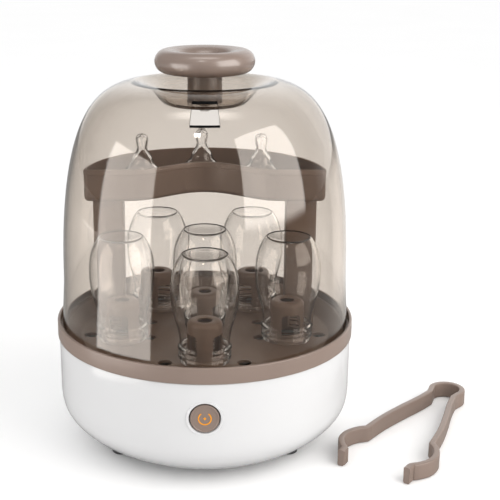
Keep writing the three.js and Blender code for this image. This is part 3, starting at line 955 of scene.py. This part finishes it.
def make_dome():
    """Two faces of one grid, so that the vent is a clean hole through both."""
    steps = 360
    outer = lid_face(0)
    inner = lid_face(LID["wall"])
    crown = [i for i, point in enumerate(outer) if point.y >= VENT_LOWEST]
    low, high = (min(crown, key=lambda i: abs(outer[i].x - VENT[edge])) for edge in ("outer", "inner"))
    half = round(VENT["half"] * steps / 360)
    middle = steps * 3 // 4
    columns = range(middle - half, middle + half)
    build = bmesh.new()

    def grid(points):
        return [
            [
                build.verts.new((p.x * math.cos(a), p.x * math.sin(a), p.y))
                for a in (2 * math.pi * k / steps for k in range(steps))
            ]
            for p in points
        ]

    faces = [grid(outer), grid(inner)]
    for rows in faces:
        for i, (below, above) in enumerate(zip(rows, rows[1:])):
            for k in range(steps):
                if low <= i < high and k in columns:
                    continue
                n = (k + 1) % steps
                build.faces.new((below[k], below[n], above[n], above[k]))
    out, into = faces
    for k in range(steps):
        n = (k + 1) % steps
        build.faces.new((out[0][k], out[0][n], into[0][n], into[0][k]))
    for rows in faces:
        centre = build.verts.new((0, 0, rows[-1][0].co.z))
        for k in range(steps):
            build.faces.new((rows[-1][k], rows[-1][(k + 1) % steps], centre))
    first, last = middle - half, middle + half
    for k in columns:
        for i in (low, high):
            build.faces.new((out[i][k], out[i][k + 1], into[i][k + 1], into[i][k]))
    for i in range(low, high):
        for k in (first, last):
            build.faces.new((out[i][k], out[i + 1][k], into[i + 1][k], into[i][k]))
    dome = finished_mesh("dome_shell", build, 50)
    piece(dome, SMOKE, "lid", "smoked_clear", "lid_dome")


KNOB_DISH = [  # radius, and drop below the top
    (30, 0.35),
    (26, 1.1),
    (23, 2.3),
    (20.5, 4.3),
    (18.3, 7),
    (15.5, 9.1),
    (11.5, 10.1),
    (6, 10.2),
    (0, 10.2),
]


def make_knob():
    """The round-edged cap with a dish in its top, and the stem that it stands on."""
    low, high = heights("lid_knob")
    size = radius("lid_knob")
    half = (high - low) / 2
    profile = [(0, low), (size - half - 6, low)]
    for k in range(25):
        angle = math.radians(-90 + 180 * k / 24)
        profile.append((size - half + half * math.cos(angle), low + half + half * math.sin(angle)))
    profile += curve_through([(r, high - drop) for r, drop in KNOB_DISH], 5)
    knob = lathe("knob_cap", profile, 160, closed=False, sharp=40)
    piece(knob, TAUPE_GLOSS, "lid", "taupe_plastic", "lid_knob")
    low, high = heights("knob_stem")
    size = radius("knob_stem")
    profile = [
        (0, low),
        (size, low, 0.6),
        (size, low + 2.4, 0.3),
        (size - 0.4, low + 2.8, 0.3),
        (size - 0.4, high),
        (0, high),
    ]
    stem = lathe("stem_tube", profile, 96, closed=False)
    # The stem's darker taupe is painted shade, the knob's shadow on it.
    piece(stem, STEM_PAINTED_SHADE, "lid", "dark_taupe", "knob_stem")


# ---- tongs -----------------------------------------------------------------------------------
TONGS_MIDDLE = Vector((238, 54))
TONGS_HEADING = -122.1
TONGS_BOW = 14.73  # the radius of the bow's centre line
TONGS_ARM = [(14.5, 12), (35, 15.5), (60, 21.5), (90, 27.5), (120.5, 31)]
TONGS_CUP = [(120.5, 31), (128, 37.5), (139.5, 42), (152, 41.6), (162, 36.5), (168, 31)]
TONGS_TIP = (177, 30.5)
TONGS_HALF_THICK = 2.75
RIB = {"radius": 1.1, "first": 1.6, "apart": 2.3, "inward": 2.5}


def tongs_line(side):
    """The centre line of one half, from the bow's middle to the tip."""
    bow = [Vector(polar(TONGS_BOW, angle)) for angle in (180, 165, 150, 135, 120, 105, 90, 77, 66)]
    line = [*bow, *curve_through(TONGS_ARM, 6), *curve_through(TONGS_CUP, 5)[1:], Vector(TONGS_TIP)]
    heading = Matrix.Rotation(math.radians(TONGS_HEADING), 2)
    return [TONGS_MIDDLE + heading @ Vector((p.x, p.y * side)) for p in line]


def tongs_ribs(line, side):
    """Upright ribs on the inner face of the tip, which grip a bottle."""
    along = (line[-1] - line[-2]).normalized()
    inward = Vector((along.y, -along.x)) * side
    ribs = []
    for number in range(4):
        spot = line[-1] - along * (RIB["first"] + RIB["apart"] * number) + inward * RIB["inward"]
        size = RIB["radius"]
        rib = lathe("rib", [(0, 1), (size, 1, 0.4), (size, 14, 0.4), (0, 14)], 16, closed=False)
        moved(rib, spot.x * MM, spot.y * MM, 0)
        ribs.append(rib)
    return ribs


def make_tongs():
    """Two mirrored halves of the bent strip, each blended from the bow to its arm."""
    out = TONGS_HALF_THICK
    low, high = 0.25, 15
    corners = [(-out, low), (out, low), (out, high), (-out, high)]
    section = filleted([(*corner, 1.2) for corner in corners], True)
    for side, name in ((-1, "left"), (1, "right")):
        line = tongs_line(side)
        rings = []
        for i, point in enumerate(line):
            along = (line[min(i + 1, len(line) - 1)] - line[max(i - 1, 0)]).normalized()
            across = Vector((-along.y, along.x))
            rings.append([(point.x + across.x * p.x, point.y + across.y * p.x, p.y) for p in section])
        half = lofted(f"tongs_{name}_half", rings, sharp=24)
        half = merged(half.name + "_ribbed", [half, *tongs_ribs(line, side)])
        paint(half, TAUPE)
        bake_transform(half)
        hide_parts(f"tongs_arm_{name}", "tongs_bow")


# ---- pieces that keep their CAD shape --------------------------------------------------------
def paint_inner_nodes():
    """Materials for the pieces in the base, at the cord's outlet and under the knob."""
    finishes = {
        STEEL: ["heating_plate", "knob_screw", *(f"bottom_screw_{n}" for n in range(1, 5))],
        ALUMINIUM: ["heater_ring"],
        SEAL: ["plate_gasket", "thermal_fuse", "terminal_block", "knob_washer"],
        BLACK: ["thermostat", "tact_switch", "gland_nut"],
        BOARD: ["control_board"],
        AMBER: ["indicator_lamp"],
        WHITE: ["cord_gland"],
    }
    for material, names in finishes.items():
        for name in names:
            paint(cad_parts[name], material)


# ---- floor and light -------------------------------------------------------------------------
FLOOR_HALF = 6
WORLD_LEVEL = 1.03
WINDOW = (1.0, -0.654, 0.794)  # the middle of the large lamp at the right
WINDOW_SIZE = (1.25, 1.34)


def make_floor():
    """A white floor, which is darker towards the front in what the object reflects."""
    build = bmesh.new()
    bmesh.ops.create_grid(build, x_segments=1, y_segments=1, size=FLOOR_HALF)
    mesh = bpy.data.meshes.new("floor")
    build.to_mesh(mesh)
    build.free()
    floor = link("floor", mesh)
    floor.location.z = TABLE - 0.0002
    nodes = Nodes("floor_white")
    shader = nodes.add("ShaderNodeBsdfDiffuse")
    seen = nodes.tint(nodes.noise(3), (0.955, 0.955, 0.955), (0.965, 0.965, 0.965))
    place = nodes.add("ShaderNodeNewGeometry")
    tone = nodes.add("ShaderNodeMix", data_type="RGBA")
    nodes.join(seen, tone.inputs[6])
    spot = place.outputs["Position"]
    darker = seen_in_gloss(nodes.tree, spot, heading=(0, 1), reach=(-0.3, 0.3), levels=(0.62, 0))
    nodes.join(darker, tone.inputs[0])
    tone.inputs[7].default_value = (0, 0, 0, 1)
    nodes.join(tone.outputs[2], shader.inputs["Color"])
    nodes.join(shader.outputs["BSDF"], nodes.output.inputs["Surface"])
    paint(floor, nodes.material)


def seen_in_gloss(tree, vector, heading, reach, levels):
    """For what is met in a reflection, levels that change along a heading; otherwise nothing."""
    along = tree.nodes.new("ShaderNodeVectorMath")
    along.operation = "DOT_PRODUCT"
    along.inputs[1].default_value = (*heading, 0)
    tree.links.new(vector, along.inputs[0])
    level = tree.nodes.new("ShaderNodeMapRange")
    level.inputs["From Min"].default_value = reach[0]
    level.inputs["From Max"].default_value = reach[1]
    level.inputs["To Min"].default_value = levels[0]
    level.inputs["To Max"].default_value = levels[1]
    tree.links.new(along.outputs["Value"], level.inputs["Value"])
    path = tree.nodes.new("ShaderNodeLightPath")
    met = tree.nodes.new("ShaderNodeMath")
    met.operation = "GREATER_THAN"
    tree.links.new(path.outputs["Glossy Depth"], met.inputs[0])
    only = tree.nodes.new("ShaderNodeMath")
    only.operation = "MULTIPLY"
    tree.links.new(met.outputs[0], only.inputs[0])
    tree.links.new(level.outputs["Result"], only.inputs[1])
    return only.outputs[0]


def soften(tree, edges):
    """Fades a lamp's strength to nothing at its edges, over shares of its width and height."""
    spot = tree.nodes.new("ShaderNodeNewGeometry")
    axes = tree.nodes.new("ShaderNodeSeparateXYZ")
    both = tree.nodes.new("ShaderNodeMath")
    both.operation = "MULTIPLY"
    tree.links.new(spot.outputs["Parametric"], axes.inputs[0])
    for number, (axis, edge) in enumerate(zip("XY", edges)):
        away = tree.nodes.new("ShaderNodeMath")
        away.operation = "PINGPONG"
        away.inputs[1].default_value = 0.5
        tree.links.new(axes.outputs[axis], away.inputs[0])
        ramp = tree.nodes.new("ShaderNodeMapRange")
        ramp.interpolation_type = "SMOOTHSTEP"
        ramp.inputs["From Max"].default_value = edge
        tree.links.new(away.outputs[0], ramp.inputs["Value"])
        tree.links.new(ramp.outputs["Result"], both.inputs[number])
    tree.links.new(both.outputs[0], tree.nodes["Emission"].inputs["Strength"])


def softbox(name, place, target, size, radiance, shines_on, edges=(0.02, 0.02)):
    """A flat lamp with soft edges. One for gloss only is a reflection, and one for matt only has none."""
    data = bpy.data.lights.new(name, "AREA")
    data.shape = "RECTANGLE"
    data.size, data.size_y = size
    data.energy = radiance * math.pi * size[0] * size[1]
    data.color = (1, 0.97, 0.935)
    data.use_nodes = True
    soften(data.node_tree, edges)
    light = bpy.data.objects.new(name, data)
    light.location = place
    light.rotation_euler = (Vector(target) - Vector(place)).to_track_quat("-Z", "Y").to_euler()
    light.visible_camera = False
    light.visible_diffuse = shines_on == "matt"
    light.visible_glossy = shines_on == "gloss"
    light.visible_transmission = shines_on == "gloss"
    scene.collection.objects.link(light)


def make_world():
    """White all round. In what the object reflects it's dark, but white towards the back."""
    world = bpy.data.worlds.new("studio")
    world.use_nodes = True
    tree = world.node_tree
    back = tree.nodes["Background"]
    back.inputs["Color"].default_value = (1, 1, 1, 1)
    place = tree.nodes.new("ShaderNodeTexCoord")
    less = tree.nodes.new("ShaderNodeMath")
    less.operation = "SUBTRACT"
    less.inputs[0].default_value = WORLD_LEVEL
    spot = place.outputs["Generated"]
    darker = seen_in_gloss(tree, spot, heading=(0.3, 0.95), reach=(0.5, 0.85), levels=(0.8, -0.07))
    tree.links.new(darker, less.inputs[1])
    tree.links.new(less.outputs[0], back.inputs["Strength"])
    scene.world = world


def make_lamps():
    """Each lamp's place, the point it faces, its size, its radiance and what it shines on."""
    near_left, near_right = (-0.285, -0.214, 0.197), (0.33, 0.27, 0.12)
    softbox("left_panel", near_left, (0.124, -0.131, 0.197), (0.295, 0.381), 3.9, "gloss", (0.05, 0.03))
    softbox("right_panel", WINDOW, (0, -0.005, 0.794), WINDOW_SIZE, 4.0, "gloss", (0.03, 0.06))
    softbox("right_back_panel", near_right, (0.1, -0.02, 0.12), (0.37, 0.26), 0.6, "gloss", (0.1, 0.2))
    softbox("left_fill", (-1.45, -0.15, 0.16), (0, -0.02, 0.08), (1.2, 0.3), 3.6, "matt")
    softbox("right_fill", WINDOW, (0, 0, 0.1), WINDOW_SIZE, 2.2, "matt")
    softbox("crown_strip", (0, -0.2, 1.2), (0, -0.092, 0.302), (1.0, 0.4), 3.9, "gloss", (0.4, 0.4))
    softbox("sparkle", (-0.165, -1.13, 1.5), (0, -0.1, 0.28), (0.17, 0.17), 40, "gloss", (0.3, 0.3))


def set_render():
    """Plain colours, and enough bounces for light to cross the dome, the bottles and the teats."""
    scene.view_settings.view_transform = "Standard"
    scene.view_settings.look = "None"
    scene.cycles.transparent_max_bounces = 32
    scene.cycles.max_bounces = 24
    scene.cycles.transmission_bounces = 24


make_base()
make_basin()
make_button()
make_mark()
make_underside()
make_rack()
for station in STATIONS:
    make_peg(station)
    make_bottle(station)
make_upper_tray()
make_leg(1)
make_leg(-1)
for spot_name in ("right", "middle", "left"):
    make_teat(spot_name)
make_dome()
make_knob()
make_tongs()
paint_inner_nodes()
make_floor()
make_world()
make_lamps()
set_render()
